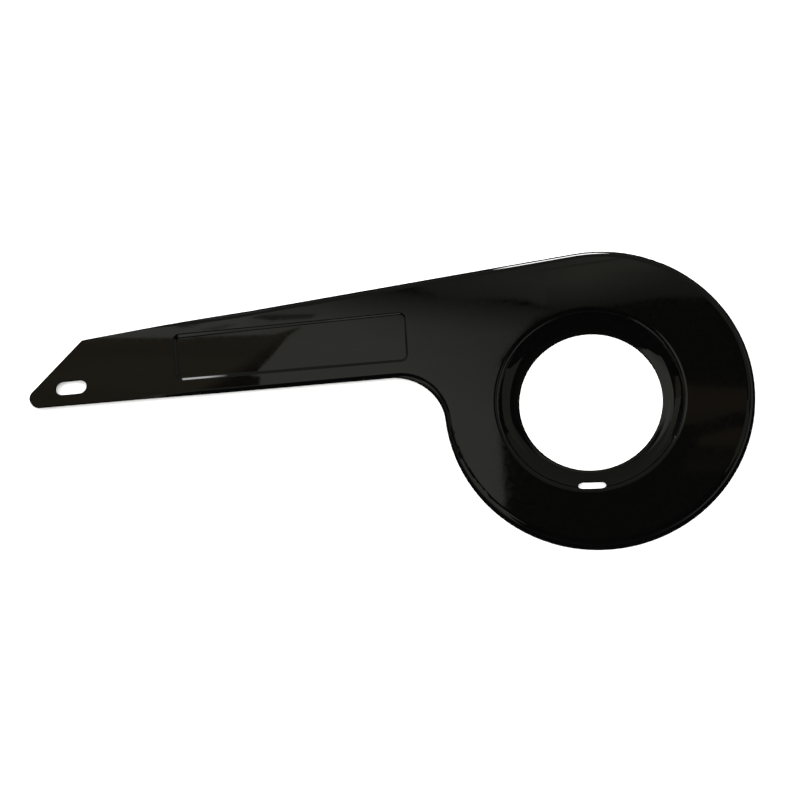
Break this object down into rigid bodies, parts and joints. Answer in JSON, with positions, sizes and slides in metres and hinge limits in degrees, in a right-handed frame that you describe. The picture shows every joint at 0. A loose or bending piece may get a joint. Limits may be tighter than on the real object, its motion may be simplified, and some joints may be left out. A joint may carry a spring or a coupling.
{
  "type": "bicycle chain guard",
  "caption": "Thin moulded chain guard: a round plate with a dished crank opening and a tapering arm that ends in a flat slotted tail.",
  "frame": {"origin": "axis of the crank opening, on the plane of the back rim", "axes": "+X forward along the bicycle, +Y up on the bicycle, +Z out of the glossy face; the guard lies on its rim"},
  "size_m": [0.3713, 0.157, 0.007],
  "materials": {
    "guard_plastic": "gloss black moulded plastic"
  },
  "bodies": {
    "root": {"chain_guard": "guard_plastic"}
  },
  "joints": []
}
